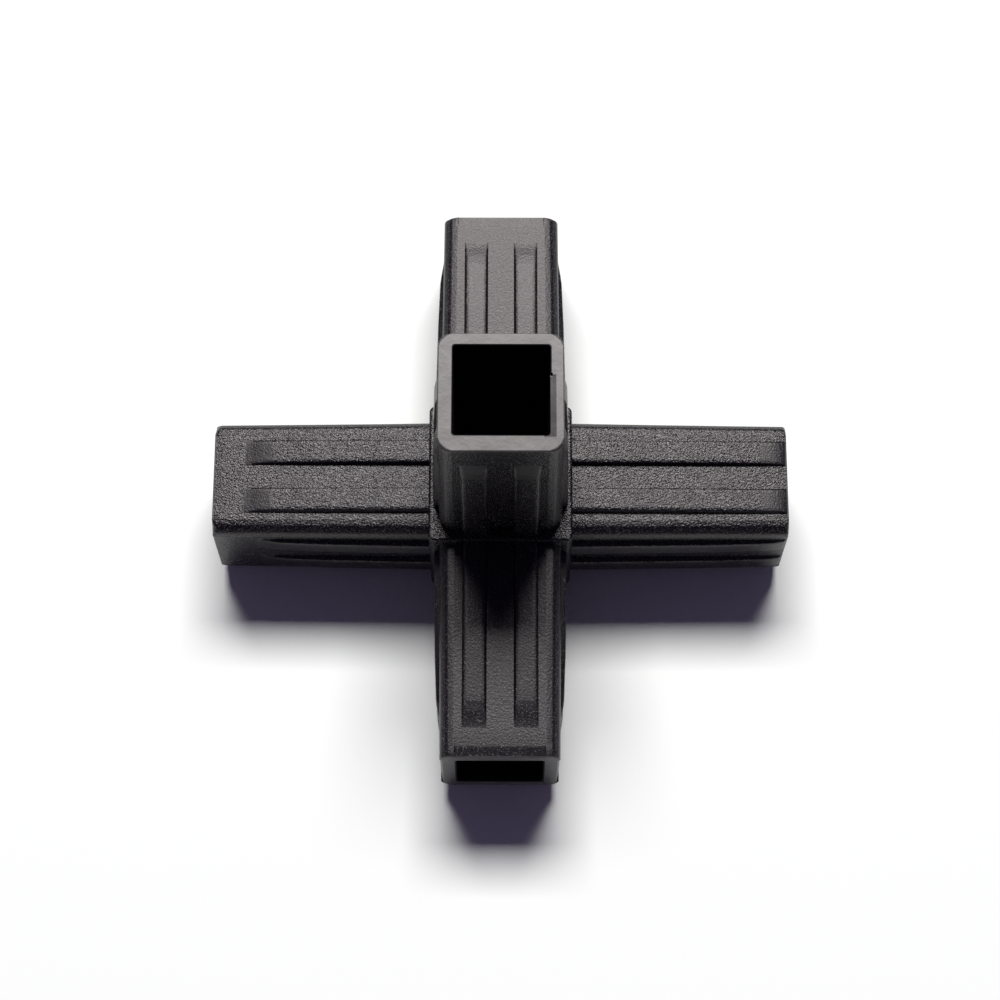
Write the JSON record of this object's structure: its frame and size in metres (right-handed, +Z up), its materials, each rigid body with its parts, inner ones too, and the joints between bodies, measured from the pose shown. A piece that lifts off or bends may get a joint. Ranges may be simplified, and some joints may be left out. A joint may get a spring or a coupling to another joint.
{
  "type": "square tube connector",
  "caption": "Push-in connector for square tube: a cube hub with hollow ribbed arms in a flat cross and an upright arm.",
  "frame": {"origin": "middle of the hub's flat underside", "axes": "+Z up along the upright arm, +X and +Y along arms of the cross; the arm on +X is the one whose ribs run out to its tip"},
  "size_m": [0.0794, 0.0794, 0.0496],
  "materials": {
    "black_plastic": "fine matt texture as moulded, smooth on rib ramps and at the mouths"
  },
  "bodies": {
    "root": {"connector_body": "black_plastic"}
  },
  "joints": []
}
